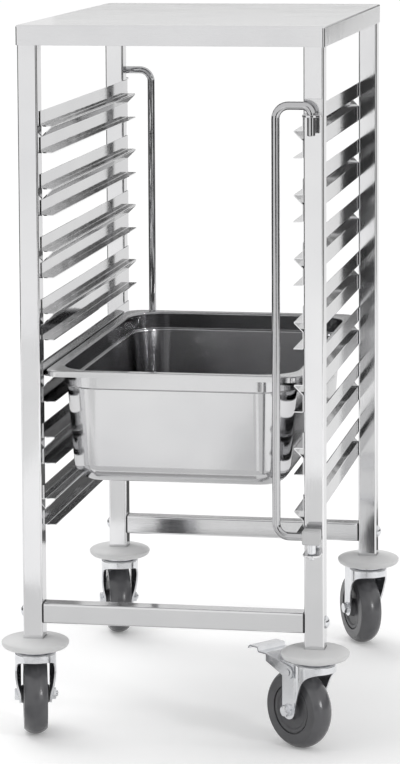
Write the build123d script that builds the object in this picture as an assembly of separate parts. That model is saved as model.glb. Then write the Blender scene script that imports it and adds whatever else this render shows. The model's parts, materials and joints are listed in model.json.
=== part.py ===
from build123d import *
import math
import os

# Gastronorm rack trolley, in millimetres
# X runs to the right, Y to the rear and Z up, with the floor at Z = 0

quarter_turn = 90.0

# Container, GN 1/1
pan_length = 530.0
pan_width = 325.0
pan_depth = 145.0
pan_sheet = 0.8
rim_width = 13.0
rim_height = 7.5
rim_corner = 18.0
pan_corner = 52.0
shoulder_depth = 24.0
shoulder_step = 3.5
wall_draft = 4.5
pan_base_round = 24.0
pan_level = 5

# Room that the frame leaves round the container
pan_side_room = 1.3
pan_end_room = 10.0
ledge_clear = 3.0
seat_gap = 0.3

# Square tube of posts and crossbars
tube_size = 25.0
tube_wall = 1.2
tube_corner = 2.5

# Runners
level_count = 7
level_pitch = 78.0
runner_sheet = 1.2
guard_height = 19.0
runner_drop = 33.0
weld_lap = 12.5

# Worktop
top_sheet = 1.2
top_skirt = 25.0
top_corner = 3.0
top_bend = 2.4
top_gap = 0.3
head_room = 126.0

# Crossbars and their fixings
crossbar_lift = 24.0
crossbar_to_ledge = 129.0
collar_thickness = 1.5
plug_length = 28.0
plug_gap = 0.15
bolt_radius = 4.0
bolt_grip = 20.0
bolt_head_radius = 8.0
bolt_head_height = 5.5
bolt_head_edge = 1.2
bolt_gap = 0.05

# Retaining bars
rod_radius = 5.0
rod_bend = 16.0
hook_bend = 10.5
bend_clear = 0.5
bar_stand_off = 20.0
bar_reach = 43.5
bar_above_top_ledge = 31.5
bar_below_low_ledge = 28.2
hook_length = 36.5
foot_width = 22.0
foot_depth = 18.0
foot_height = 17.5
foot_pin_length = 12.5
foot_spigot_radius = 3.0
foot_spigot_length = 7.0
bracket_sheet = 2.5
bracket_leg = 18.0
bracket_width = 22.0
foot_round = 1.5

# Casters
wheel_radius = 50.0
tyre_width = 30.0
tyre_shoulder = 7.0
hub_radius = 31.0
hub_width = 28.0
hub_dish = 2.0
hub_boss_radius = 11.0
groove_width = 1.4
groove_depth = 1.6
caster_trail = 30.0
fork_sheet = 2.5
fork_width = 41.0
fork_neck = 6.0
fork_end_radius = 11.0
fork_end_lead = 2.0
fork_sweep = 67.0
crown_radius = 26.0
crown_sheet = 3.0
crown_lip = 10.0
crown_clear = 10.0
crown_round = 2.5
cut_over = 1.0
race_inner = 9.0
race_outer = 22.0
race_height = 2.5
race_round = 1.0
stem_radius = 6.0
stem_flange_radius = 24.0
stem_flange = 2.2
king_head_radius = 11.0
king_head = 3.2
swivel_gap = 0.3
shaft_gap = 0.08
stem_top_gap = 1.0
axle_radius = 4.0
sleeve_radius = 6.0
axle_head_flats = 13.0
axle_head = 4.4
axle_washer_radius = 8.0
axle_washer = 1.4
axle_tip = 2.6

# Bumpers
bumper_radius = 42.5
bumper_crest_radius = 19.0
bumper_floor = 10.0
bumper_rim = 7.5
bumper_crest = 14.5
socket_gap = 0.3

# Brake pedal on the front right caster, measured from the swivel axis and from its pivot
pivot_ahead = 27.0
pivot_drop = 14.0
pivot_radius = 2.5
pivot_head_radius = 4.5
pivot_head = 1.2
pedal_sheet = 2.0
pedal_cheek_gap = 0.3
pedal_cheek_radius = 8.5
pedal_start = 42.5
pedal_start_rise = 11.0
pedal_fold = 67.0
pedal_fold_rise = 17.0
pedal_cheek_depth = 10.0
tread_rise = 5.0
tread_step = 80.0
tread_crest = 97.0
tread_end = 101.0
tread_curl = 4.0
shoe_width = 28.0
shoe_drop = 3.6

# Heading of each caster at rest: how far its wheel has swung to the left of straight back
caster_heading = {
    "front_left": 14.5,
    "front_right": 51.0,
    "rear_left": 17.0,
    "rear_right": 28.5,
}
braked_caster = "front_right"

# Plan of the frame, set by the container
inner_half = pan_width / 2 + pan_side_room + runner_sheet
frame_half_width = inner_half + tube_size
frame_half_depth = pan_length / 2 + pan_end_room
post_x = frame_half_width - tube_size / 2
post_y = frame_half_depth - tube_size / 2
pan_half_body = pan_width / 2 - rim_width
ledge_reach = inner_half - pan_half_body - ledge_clear

# Heights, stacked from the floor
crown_top = 2 * wheel_radius + crown_clear + crown_sheet
flange_low = crown_top + race_height + swivel_gap
bumper_low = flange_low + stem_flange
post_low = bumper_low + bumper_floor
crossbar_low = post_low + crossbar_lift
crossbar_mid = crossbar_low + tube_size / 2
low_ledge = crossbar_low + tube_size + crossbar_to_ledge
top_ledge = low_ledge + (level_count - 1) * level_pitch
worktop_height = top_ledge + head_room
plug_top = worktop_height - top_sheet
post_top = worktop_height - top_bend
pan_ledge = top_ledge - (pan_level - 1) * level_pitch

corners = {
    "front_left": (-1, -1),
    "front_right": (1, -1),
    "rear_left": (-1, 1),
    "rear_right": (1, 1),
}


def corner_place(corner):
    # middle of a post, on the floor
    side, end = corners[corner]
    return Pos(side * post_x, end * post_y, 0)


def upright(section, low, high):
    # a section drawn about the origin, raised from low to high
    return Pos(0, 0, low) * extrude(section, high - low)


def turned(outline):
    # an outline of radius and height, turned about Z
    return revolve(make_face(Plane.XZ * outline), Axis.Z)


def round_bar(radius, low, high):
    return upright(Circle(radius), low, high)


def folded(points, sheet):
    # the section of a bent sheet, lying to the left of the line through the points
    line = Polyline(*points)
    return make_face(Wire(line.edges()).offset_2d(sheet, side=Side.LEFT))


def tube_section():
    bore = tube_size - 2 * tube_wall
    outer = RectangleRounded(tube_size, tube_size, tube_corner)
    return outer - RectangleRounded(bore, bore, tube_corner - tube_wall)


def group(pieces):
    # separate solids that share one name
    return Compound([solid for piece in pieces for solid in piece.solids()])


def plug_section():
    # what slides into the bore of the square tube
    side = tube_size - 2 * tube_wall - 2 * plug_gap
    return RectangleRounded(side, side, tube_corner - tube_wall)


# Worktop

def worktop():
    def tray(inset, low, high):
        width = 2 * (frame_half_width + top_gap + top_sheet - inset)
        depth = 2 * (frame_half_depth + top_gap + top_sheet - inset)
        block = upright(RectangleRounded(width, depth, top_corner - inset), low, high)
        return fillet(block.faces().sort_by(Axis.Z)[-1].edges(), top_bend - inset)

    skirt_low = worktop_height - top_skirt
    return tray(0, skirt_low, worktop_height) - tray(top_sheet, skirt_low, plug_top)


# Posts and crossbars

def post(corner):
    hole = Rot(0, 90, 0) * Cylinder(bolt_radius + bolt_gap, 2 * tube_size)
    body = upright(tube_section(), post_low, post_top) - Pos(0, 0, crossbar_mid) * hole
    return corner_place(corner) * body


def crossbar(end):
    half = inner_half - collar_thickness
    bar = Pos(-half, 0, 0) * extrude(Plane.YZ * tube_section(), 2 * half)
    return Pos(0, end * post_y, crossbar_mid) * bar


def crossbar_end_plug():
    # collar against the post at Z = 0, body pointing up Z into the bar
    collar = upright(RectangleRounded(tube_size, tube_size, tube_corner), 0, collar_thickness)
    body = upright(plug_section(), collar_thickness, collar_thickness + plug_length)
    return collar + body - round_bar(bolt_radius + bolt_gap, 0, collar_thickness + plug_length)


def crossbar_bolt():
    # seat of the head at Z = 0, head above it
    shank = tube_size + collar_thickness + bolt_grip
    edge = (bolt_head_radius, bolt_head_edge)
    outline = Polyline((0, bolt_head_height), (0, -shank), (bolt_radius, -shank),
                       (bolt_radius, 0), (bolt_head_radius, 0), edge)
    rise = bolt_head_height - bolt_head_edge
    dome = (bolt_head_radius**2 + rise**2) / (2 * rise)
    outline += RadiusArc(edge, (0, bolt_head_height), -dome)
    return turned(outline)


def at_crossbar_ends(piece, distance, turn):
    # one copy at each end of both crossbars, with its Z along +X or -X
    places = []
    for side, end in corners.values():
        place = Pos(side * distance, end * post_y, crossbar_mid)
        places.append(place * Rot(0, side * turn, 0) * piece)
    return group(places)


def post_end_plugs():
    top = upright(plug_section(), plug_top - plug_length, plug_top)
    low = upright(plug_section(), post_low, post_low + plug_length)
    low -= round_bar(stem_radius + bolt_gap, post_low, post_low + plug_length)
    pieces = []
    for corner in corners:
        pieces.append(corner_place(corner) * top)
        pieces.append(corner_place(corner) * low)
    return group(pieces)


# Runners

def left_runner(level):
    # level 1 is the highest
    ledge = top_ledge - (level - 1) * level_pitch
    foot = ledge - runner_drop
    tip = ledge_reach - runner_sheet
    fold = runner_sheet * math.tan(math.radians(22.5))
    section = folded(
        [(0, ledge + guard_height), (0, ledge - runner_sheet), (tip, ledge - runner_sheet),
         (0, ledge - runner_sheet - tip), (0, foot - runner_sheet), (ledge_reach, foot - runner_sheet)],
        runner_sheet)
    front = -frame_half_depth + tube_size
    body = Pos(0, frame_half_depth, 0) * extrude(Plane.XZ * section, frame_half_depth - front)
    # flat laps of both webs, spot welded to the inner face of the front post
    low_web_top = ledge - runner_sheet - tip - fold
    for low, high in ((ledge, ledge + guard_height), (foot, low_web_top)):
        lap = Pos(runner_sheet / 2, front - weld_lap / 2, (low + high) / 2)
        body += lap * Box(runner_sheet, weld_lap, high - low)
    return Pos(-inner_half, 0, 0) * body


def runner(side, level):
    # the right side of the frame is the left side turned half round
    return left_runner(level) if side < 0 else Rot(0, 0, 180) * left_runner(level)


# Retaining bars, drawn for the front right post and turned half round for the rear left one

bar_top = top_ledge + bar_above_top_ledge
bar_low = low_ledge - bar_below_low_ledge
bar_y = -frame_half_depth - bar_stand_off
upper_tab = bar_top - hook_bend - bend_clear
lower_tab = bar_low - foot_height / 2 - foot_pin_length - seat_gap


def retaining_bar():
    run = post_x - bar_reach
    path = FilletPolyline(
        (post_x, bar_y, bar_top - hook_length), (post_x, bar_y, bar_top), (run, bar_y, bar_top),
        (run, bar_y, bar_low), (post_x - foot_width / 2, bar_y, bar_low),
        radius=[hook_bend, rod_bend, rod_bend])
    section = Plane(origin=path @ 0, z_dir=path % 0) * Circle(rod_radius)
    return sweep(section, path=path)


def hinge_foot():
    # block on the low end of the rod, with a pin below it whose spigot turns in the lower bracket
    low = bar_low - foot_height / 2
    shoulder = low - foot_pin_length
    block = upright(RectangleRounded(foot_width, foot_depth, foot_round), low, low + foot_height)
    pin = round_bar(rod_radius, shoulder, low)
    pin += round_bar(foot_spigot_radius, shoulder - foot_spigot_length, shoulder)
    return Pos(post_x, bar_y, 0) * (block + pin)


def bar_bracket(tab_top, bore):
    # tab with a hole for the rod or the spigot, and a leg above it, welded to the front of the post
    reach = bar_stand_off
    leg_low = tab_top - bracket_sheet
    leg_high = tab_top + bracket_leg
    plate = Pos(0, reach / 2, 0) * Rectangle(bracket_width, reach) + Circle(bracket_width / 2)
    tab = upright(plate, tab_top - bracket_sheet, tab_top)
    tab -= round_bar(bore + shaft_gap, tab_top - bracket_sheet, tab_top)
    leg = Pos(0, bar_stand_off - bracket_sheet / 2, (leg_low + leg_high) / 2)
    leg = leg * Box(bracket_width, bracket_sheet, leg_high - leg_low)
    return Pos(post_x, bar_y, 0) * (tab + leg)


def upper_bracket():
    return bar_bracket(upper_tab, rod_radius)


def lower_bracket():
    return bar_bracket(lower_tab, foot_spigot_radius)


# Container

def pan():
    rim_top = pan_ledge + seat_gap + rim_height

    def body(inset):
        # the hollow's outside at inset 0, and its inside at the sheet's thickness
        length = pan_length - 2 * rim_width - 2 * inset
        width = 2 * (pan_half_body - inset)
        high = Pos(0, 0, rim_top - shoulder_depth + inset)
        upper = high * extrude(RectangleRounded(width, length, pan_corner - inset), shoulder_depth - inset)
        step = 2 * shoulder_step
        low_section = RectangleRounded(width - step, length - step, pan_corner - shoulder_step - inset)
        height = pan_depth - shoulder_depth
        lower = high * extrude(low_section, -height, taper=wall_draft)
        lower = fillet(lower.faces().sort_by(Axis.Z)[0].edges(), pan_base_round - inset)
        return upper + lower

    rim = upright(RectangleRounded(pan_width, pan_length, rim_corner), rim_top - rim_height, rim_top)
    edge_length = pan_length - 2 * pan_sheet
    edge_width = pan_width - 2 * pan_sheet
    under = RectangleRounded(edge_width, edge_length, rim_corner - pan_sheet)
    rim = fillet(rim.faces().sort_by(Axis.Z)[-1].edges(), 2 * pan_sheet)
    rim -= upright(under, rim_top - rim_height, rim_top - pan_sheet)
    return rim + body(0) - body(pan_sheet)


# Casters, drawn with the swivel axis on Z and the wheel trailing along +Y

axle_place = Pos(0, caster_trail, wheel_radius)
fork_half = fork_width / 2
fork_inner = fork_half - fork_sheet


def across(piece):
    # a piece drawn along Z, laid along the axle
    return Rot(0, 90, 0) * piece


def bumper(corner):
    # disc with a round edge and a domed top, and a socket for the end of the post
    base = (bumper_radius - bumper_rim, 0)
    edge = (bumper_radius, bumper_rim)
    crest = (bumper_crest_radius, bumper_crest)
    hole = stem_radius + bolt_gap
    outline = Polyline(crest, (hole, bumper_crest), (hole, 0), base)
    outline += CenterArc((base[0], bumper_rim), bumper_rim, -quarter_turn, quarter_turn)
    outline += EllipticalCenterArc(
        (crest[0], edge[1]), edge[0] - crest[0], crest[1] - edge[1], arc_size=quarter_turn)
    socket = tube_size + 2 * socket_gap
    post_end = RectangleRounded(socket, socket, tube_corner + socket_gap)
    body = turned(outline) - upright(post_end, bumper_floor, bumper_crest + cut_over)
    return corner_place(corner) * Pos(0, 0, bumper_low) * body


def caster_stem():
    top = post_low + plug_length - stem_top_gap
    head_top = crown_top - crown_sheet - swivel_gap
    stem = round_bar(stem_radius, head_top, top)
    stem += round_bar(stem_flange_radius, flange_low, bumper_low)
    return stem + round_bar(king_head_radius, head_top - king_head, head_top)


def caster_stems():
    return group([corner_place(corner) * caster_stem() for corner in corners])


def swivel_race():
    ring = round_bar(race_outer, crown_top, crown_top + race_height)
    ring -= round_bar(race_inner, crown_top, crown_top + race_height)
    outer = ring.edges().filter_by(GeomType.CIRCLE).sort_by(SortBy.RADIUS)[-2:]
    return fillet(outer, race_round)


def fork_plan(inset, back):
    # round crown with two parallel legs behind it
    width = fork_width - 2 * inset
    plan = Circle(crown_radius - inset) + Pos(0, back / 2) * Rectangle(width, back)
    necks = plan.vertices().filter_by_position(Axis.Y, cut_over, back - cut_over)
    return fillet(necks, fork_neck + inset)


def fork_side(back):
    # side outline: level lip, hollow sweep down to the leg, round end at the axle, straight back
    turn = math.radians(fork_sweep)
    lip = (-crown_radius, crown_top - crown_lip)
    end_middle = (caster_trail - fork_end_lead, wheel_radius)
    leg_front = (end_middle[0] - fork_end_radius * math.sin(turn),
                 end_middle[1] - fork_end_radius * math.cos(turn))
    leg_low = (end_middle[0], end_middle[1] - fork_end_radius)
    run = leg_front[0] - lip[0]
    drop = lip[1] - leg_front[1]
    # the radius at which the sweep leaves the lip level and runs straight into the round end
    radius = (run * math.sin(turn) - drop * math.cos(turn)) / (1 - math.cos(turn))
    sweep_end = (lip[0] + radius * math.sin(turn), lip[1] - radius * (1 - math.cos(turn)))
    over = (lip[0] - cut_over, crown_top + cut_over)
    outline = RadiusArc(lip, sweep_end, radius) + Line(sweep_end, leg_front)
    outline += ThreePointArc(leg_front, leg_low, (back, wheel_radius))
    outline += Polyline((back, wheel_radius), (back, over[1]), over, (over[0], lip[1]), lip)
    return make_face(Plane.YZ * outline)


def fork(braked):
    # deep-drawn cup, open behind and cut away below the sweep
    back = caster_trail - fork_end_lead + fork_end_radius
    low = wheel_radius - fork_end_radius - cut_over
    cup = upright(fork_plan(0, back), low, crown_top)
    cup = fillet(cup.faces().sort_by(Axis.Z)[-1].edges(), crown_round)
    cup -= upright(fork_plan(fork_sheet, back + cut_over), low, crown_top - crown_sheet)
    body = cup & extrude(fork_side(back), crown_radius + cut_over, both=True)
    body -= round_bar(stem_radius + shaft_gap, low, crown_top)
    body -= axle_place * across(Cylinder(axle_radius + bolt_gap, 2 * fork_width))
    if braked:
        body -= pivot_place * across(Cylinder(pivot_radius + bolt_gap, 2 * fork_width))
    return body


def axle_set():
    # bolt with a flanged hex head on one side, sleeve between the legs, flanged nut on the other
    flange = round_bar(axle_washer_radius, 0, axle_washer)
    hexagon = RegularPolygon(axle_head_flats / 2, 6, major_radius=False)
    head = flange + upright(hexagon, axle_washer, axle_washer + axle_head)
    shank = fork_width + axle_washer + axle_head + axle_tip
    bolt = head + round_bar(axle_radius, -shank, 0)
    nut = head - round_bar(axle_radius + bolt_gap, 0, axle_washer + axle_head)
    sleeve = round_bar(sleeve_radius, -fork_inner + bolt_gap, fork_inner - bolt_gap)
    sleeve -= round_bar(axle_radius + bolt_gap, -fork_inner, fork_inner)
    pieces = [
        Rot(180, 0, 0) * Pos(0, 0, fork_half) * bolt,
        sleeve,
        Pos(0, 0, fork_half) * nut,
    ]
    return group([axle_place * across(piece) for piece in pieces])


def hub():
    bore = sleeve_radius + shaft_gap
    boss = fork_inner - swivel_gap
    face = hub_width / 2
    web = face - hub_dish
    rim = hub_radius - groove_width
    floor = face - groove_depth
    half = [(bore, boss), (hub_boss_radius, boss), (hub_boss_radius + hub_dish, web),
            (rim - 3 * hub_dish, web), (rim - 2 * hub_dish, face), (rim, face),
            (rim, floor), (hub_radius, floor)]
    other = [(radius, -height) for radius, height in reversed(half)]
    outline = Polyline(*half, *other, close=True)
    return axle_place * across(turned(outline))


def tyre():
    half = tyre_width / 2
    shoulder = wheel_radius - tyre_shoulder
    inner = hub_radius + bolt_gap
    outline = Polyline((shoulder, half), (inner, half), (inner, -half), (shoulder, -half))
    outline += ThreePointArc((shoulder, -half), (wheel_radius, 0), (shoulder, half))
    return axle_place * across(turned(outline))


# Brake pedal

pivot_place = Pos(0, pivot_ahead, crown_top - pivot_drop)
pivot_z = crown_top - pivot_drop
cheek_inner = fork_half + pedal_cheek_gap
cheek_outer = cheek_inner + pedal_sheet


def brake_pedal():
    start = (pedal_start, pivot_z + pedal_start_rise)
    fold = (pedal_fold, pivot_z + pedal_fold_rise)
    step = (tread_step, fold[1])
    crest = (tread_step + pedal_sheet, fold[1] + tread_rise)
    far = (tread_crest, fold[1] + tread_rise)
    end = (tread_end, far[1] - tread_curl)
    shoe = (pedal_start, start[1] - pedal_sheet - shoe_drop)
    plate = folded([end, far, crest, step, fold, start], pedal_sheet)
    body = extrude(Plane.YZ * plate, cheek_outer, both=True)
    # cheeks outside the fork legs, round at the pivot
    cheek_low = fold[1] - pedal_cheek_depth
    arm = make_hull(
        (Pos(pivot_ahead, pivot_z) * Circle(pedal_cheek_radius)).edges()
        + Polyline(start, fold, (pedal_fold, cheek_low)).edges())
    cheeks = extrude(Plane.YZ * arm, cheek_outer, both=True)
    cheeks -= extrude(Plane.YZ * arm, cheek_inner, both=True)
    body += cheeks
    # brake shoe, a tongue that reaches down to the tread of the tyre
    tongue = Polyline(
        start, shoe, (shoe[0] + pedal_sheet, shoe[1]), (start[0] + pedal_sheet, start[1]), close=True)
    body += extrude(Plane.YZ * make_face(tongue), shoe_width / 2, both=True)
    return body - pivot_place * across(Cylinder(pivot_radius + shaft_gap, 2 * fork_width))


def pedal_rivets():
    rivet = round_bar(pivot_radius, fork_inner, cheek_outer + swivel_gap)
    rivet += round_bar(pivot_head_radius, cheek_outer + swivel_gap, cheek_outer + swivel_gap + pivot_head)
    return group([pivot_place * across(rivet), pivot_place * across(Rot(180, 0, 0) * rivet)])


def casters():
    pieces = {}
    for corner in corners:
        place = corner_place(corner) * Rot(0, 0, caster_heading[corner])
        braked = corner == braked_caster
        pieces["bumper_" + corner] = bumper(corner)
        pieces["caster_fork_" + corner] = place * fork(braked)
        pieces["swivel_race_" + corner] = place * swivel_race()
        pieces["axle_" + corner] = place * axle_set()
        pieces["wheel_hub_" + corner] = place * hub()
        pieces["tyre_" + corner] = place * tyre()
        if braked:
            pieces["brake_pedal"] = place * brake_pedal()
            pieces["brake_pedal_rivets"] = place * pedal_rivets()
    pieces["caster_stems"] = caster_stems()
    return pieces


# Assembly

def assembly():
    pieces = {"worktop": worktop(), "gn_container": pan()}
    for corner in corners:
        pieces["post_" + corner] = post(corner)
    for level in range(1, level_count + 1):
        pieces["runner_left_" + str(level)] = runner(-1, level)
        pieces["runner_right_" + str(level)] = runner(1, level)
    pieces["crossbar_front"] = crossbar(-1)
    pieces["crossbar_rear"] = crossbar(1)
    pieces["crossbar_end_plugs"] = at_crossbar_ends(crossbar_end_plug(), inner_half, -90)
    pieces["crossbar_bolts"] = at_crossbar_ends(crossbar_bolt(), frame_half_width, 90)
    pieces["post_end_plugs"] = post_end_plugs()
    for end, turn in (("front", 0), ("rear", 180)):
        half_turn = Rot(0, 0, turn)
        pieces["retaining_bar_" + end] = half_turn * retaining_bar()
        pieces["hinge_foot_" + end] = half_turn * hinge_foot()
        pieces["upper_bracket_" + end] = half_turn * upper_bracket()
        pieces["lower_bracket_" + end] = half_turn * lower_bracket()
    pieces.update(casters())
    return pieces


def footprint_middle(pieces):
    # the origin lies on the floor, under the middle of everything
    boxes = [piece.bounding_box() for piece in pieces.values()]
    middle_x = (min(box.min.X for box in boxes) + max(box.max.X for box in boxes)) / 2
    middle_y = (min(box.min.Y for box in boxes) + max(box.max.Y for box in boxes)) / 2
    return middle_x, middle_y


def main():
    os.makedirs("parts", exist_ok=True)
    pieces = assembly()
    middle_x, middle_y = footprint_middle(pieces)
    for name, piece in pieces.items():
        export_step(Pos(-middle_x, -middle_y, 0) * piece, "parts/" + name + ".step")
    print(len(pieces), "pieces, footprint middle at", round(middle_x, 3), round(middle_y, 3))


main()
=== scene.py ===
# Gastronorm rack trolley: finishes, fine shapes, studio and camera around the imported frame
import json
import math
import bmesh
import bpy
from mathutils import Matrix, Vector

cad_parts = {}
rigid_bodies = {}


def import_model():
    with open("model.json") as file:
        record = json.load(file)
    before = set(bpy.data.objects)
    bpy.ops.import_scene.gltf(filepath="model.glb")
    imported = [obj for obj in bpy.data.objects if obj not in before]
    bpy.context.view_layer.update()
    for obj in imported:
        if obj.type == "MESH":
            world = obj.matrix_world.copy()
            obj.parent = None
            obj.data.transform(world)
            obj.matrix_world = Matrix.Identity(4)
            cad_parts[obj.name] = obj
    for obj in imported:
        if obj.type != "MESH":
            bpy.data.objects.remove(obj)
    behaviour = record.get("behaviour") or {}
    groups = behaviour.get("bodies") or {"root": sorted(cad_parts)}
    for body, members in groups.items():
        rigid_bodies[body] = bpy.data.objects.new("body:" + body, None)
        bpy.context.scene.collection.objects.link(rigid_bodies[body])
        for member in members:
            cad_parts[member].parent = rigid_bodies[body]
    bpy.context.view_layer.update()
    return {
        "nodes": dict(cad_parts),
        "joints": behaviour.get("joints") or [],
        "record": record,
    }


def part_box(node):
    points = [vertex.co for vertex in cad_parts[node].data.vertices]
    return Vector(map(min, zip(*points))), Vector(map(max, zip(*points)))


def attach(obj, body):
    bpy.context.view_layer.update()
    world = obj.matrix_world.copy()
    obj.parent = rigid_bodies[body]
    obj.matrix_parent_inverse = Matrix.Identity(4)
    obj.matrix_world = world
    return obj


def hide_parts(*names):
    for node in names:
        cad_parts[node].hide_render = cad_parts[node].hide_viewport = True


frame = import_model()
joints = {joint["name"]: joint for joint in frame["joints"]}
corners = ("front_left", "front_right", "rear_left", "rear_right")
mm = 0.001
print("frame loaded:", len(frame["nodes"]), "nodes")


# Meshes; distances in metres, angles in degrees, straightTurn in radians

meshing = {"merge": 1e-6, "flatAngle": 0.2, "weld": 1e-7, "speck": 1e-8, "sharpAngle": 35,
           "edgeAngle": 40, "edgeSteps": 2, "straightTurn": 0.01}


def inMetres(sizes):
    # a piece's settings in millimetres as metres; its counts and angles are read from the settings
    return {name: value * mm for name, value in sizes.items()}


def newObject(name, data):
    item = bpy.data.objects.new(name, data)
    bpy.context.scene.collection.objects.link(item)
    return item


def bakeShape(piece):
    # the modifiers' result becomes the plain mesh
    graph = bpy.context.evaluated_depsgraph_get()
    result = piece.evaluated_get(graph)
    mesh = bpy.data.meshes.new_from_object(result, preserve_all_data_layers=True, depsgraph=graph)
    mesh.name = piece.name
    piece.modifiers.clear()
    piece.data = mesh


def shadeEvenly(piece, sharpAngle=meshing["sharpAngle"]):
    # smooth shading that stays flat on the large faces
    piece.data.polygons.foreach_set("use_smooth", [True] * len(piece.data.polygons))
    piece.data.set_sharp_from_angle(angle=math.radians(sharpAngle))
    weights = piece.modifiers.new("evenShading", "WEIGHTED_NORMAL")
    weights.keep_sharp = True
    bakeShape(piece)


def softenEdges(piece, width):
    edge = piece.modifiers.new("softEdges", "BEVEL")
    edge.width = width
    edge.segments = meshing["edgeSteps"]
    edge.limit_method = "ANGLE"
    edge.angle_limit = math.radians(meshing["edgeAngle"])
    edge.use_clamp_overlap = False
    bakeShape(piece)


def copyNode(node, edge):
    # a piece with a CAD node's shape, merged, with soft edges where asked
    piece = newObject(node + "_shape", frame["nodes"][node].data.copy())
    piece.data.materials.clear()
    flat = math.radians(meshing["flatAngle"])
    cells = bmesh.new()
    cells.from_mesh(piece.data)
    bmesh.ops.remove_doubles(cells, verts=cells.verts, dist=meshing["merge"])
    bmesh.ops.dissolve_limit(cells, angle_limit=flat, verts=cells.verts, edges=cells.edges)
    cells.to_mesh(piece.data)
    cells.free()
    if edge:
        softenEdges(piece, edge)
    shadeEvenly(piece)
    return piece


def solidPiece(name, points, faces):
    mesh = bpy.data.meshes.new(name)
    mesh.from_pydata(points, [], faces)
    cells = bmesh.new()
    cells.from_mesh(mesh)
    bmesh.ops.remove_doubles(cells, verts=cells.verts, dist=meshing["weld"])
    bmesh.ops.dissolve_degenerate(cells, edges=cells.edges, dist=meshing["speck"])
    bmesh.ops.recalc_face_normals(cells, faces=cells.faces)
    cells.to_mesh(mesh)
    cells.free()
    return newObject(name, mesh)


def loft(name, rings, closed=False):
    # skin over rings of equal count, capped at both ends or closed into a loop
    count = len(rings[0])
    points = [point for ring in rings for point in ring]
    faces = []
    spans = len(rings) if closed else len(rings) - 1
    for span in range(spans):
        low = span * count
        high = (span + 1) % len(rings) * count
        for step in range(count):
            after = (step + 1) % count
            faces.append((low + step, low + after, high + after, high + step))
    if not closed:
        faces.append(tuple(range(count)))
        faces.append(tuple(range(len(points) - count, len(points))))
    return solidPiece(name, points, faces)


def turnAngles(steps):
    return [math.tau * step / steps for step in range(steps)]


def turned(name, outline, steps, closed=False):
    # an outline of (radius, height) turned about Z
    rings = []
    for radius, height in outline:
        rings.append([(radius * math.cos(angle), radius * math.sin(angle), height)
                      for angle in turnAngles(steps)])
    return loft(name, rings, closed)


def rounded(points, radii, steps, closed=False):
    # a line with its corners rounded; each result is a point and the left normal there
    line = [Vector(point) for point in points]
    last = len(line) - 1
    result = []
    for index, corner in enumerate(line):
        radius = radii[index]
        before = line[index - 1] if closed or index > 0 else None
        after = line[(index + 1) % len(line)] if closed or index < last else None
        inward = (after - corner if before is None else corner - before).normalized()
        outward = inward if after is None else (after - corner).normalized()
        turn = math.atan2(inward.x * outward.y - inward.y * outward.x, inward.dot(outward))
        side = Vector((-inward.y, inward.x))
        if not radius or abs(turn) < meshing["straightTurn"]:
            result.append((corner, side))
            continue
        reach = radius * math.tan(abs(turn) / 2)
        hand = 1 if turn > 0 else -1
        middle = corner - inward * reach + side * (radius * hand)
        for step in range(steps + 1):
            normal = side.copy()
            normal.rotate(Matrix.Rotation(turn * step / steps, 2))
            result.append((middle - normal * (radius * hand), normal))
    return result


def roundedOutline(points, radii, steps):
    return [tuple(point) for point, normal in rounded(points, radii, steps, closed=True)]


def sheetFaces(points, radii, sheet, steps):
    # left and right face of a sheet bent along its middle line
    line = rounded(points, radii, steps)
    left = [tuple(point + normal * (sheet / 2)) for point, normal in line]
    right = [tuple(point - normal * (sheet / 2)) for point, normal in line]
    return left, right


def roundedBox(halfX, halfY, corner, steps):
    # outline of a rectangle with round corners, counter-clockwise
    points = []
    for index, (sideX, sideY) in enumerate(((1, 1), (-1, 1), (-1, -1), (1, -1))):
        for step in range(steps + 1):
            angle = math.radians(90 * (index + step / steps))
            points.append((sideX * (halfX - corner) + corner * math.cos(angle),
                           sideY * (halfY - corner) + corner * math.sin(angle)))
    return points


def place(piece, matrix):
    piece.data.transform(matrix)
    piece.data.update()


def dress(piece, finish):
    piece.data.materials.clear()
    piece.data.materials.append(finish)


def joinPieces(name, pieces):
    # several closed shapes as one piece; each keeps its own finish
    mesh = bpy.data.meshes.new(name)
    cells = bmesh.new()
    for index, (piece, finish) in enumerate(pieces):
        mesh.materials.append(finish)
        piece.data.polygons.foreach_set("material_index", [index] * len(piece.data.polygons))
        cells.from_mesh(piece.data)
        bpy.data.objects.remove(piece)
    cells.to_mesh(mesh)
    cells.free()
    return newObject(name, mesh)


def settle(piece, body, slot, *nodes):
    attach(piece, body)
    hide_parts(*nodes)


# Node trees

def newTree(name, inputs):
    tree = bpy.data.node_groups.new(name, "GeometryNodeTree")
    tree.interface.new_socket("Geometry", in_out="INPUT", socket_type="NodeSocketGeometry")
    tree.interface.new_socket("Geometry", in_out="OUTPUT", socket_type="NodeSocketGeometry")
    for label, kind in inputs.items():
        tree.interface.new_socket(label, in_out="INPUT", socket_type="NodeSocket" + kind)
    return tree, tree.nodes.new("NodeGroupInput"), tree.nodes.new("NodeGroupOutput")


def addNode(tree, kind, **settings):
    node = tree.nodes.new(kind)
    for name, value in settings.items():
        setattr(node, name, value)
    return node


def finishTree(tree, start, end, geometry):
    # every tree ends in real geometry with its finish
    real = addNode(tree, "GeometryNodeRealizeInstances")
    coat = addNode(tree, "GeometryNodeSetMaterial")
    tree.links.new(geometry, real.inputs["Geometry"])
    tree.links.new(real.outputs["Geometry"], coat.inputs["Geometry"])
    tree.links.new(start.outputs["Finish"], coat.inputs["Material"])
    tree.links.new(coat.outputs["Geometry"], end.inputs["Geometry"])


def runTree(piece, tree, values):
    modifier = piece.modifiers.new(tree.name, "NODES")
    modifier.node_group = tree
    for item in tree.interface.items_tree:
        if item.in_out == "INPUT" and item.name in values:
            modifier[item.identifier] = values[item.name]
    bakeShape(piece)


# Finishes

noiseSpan = (0.3, 0.7)  # noise lies mostly between these


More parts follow.
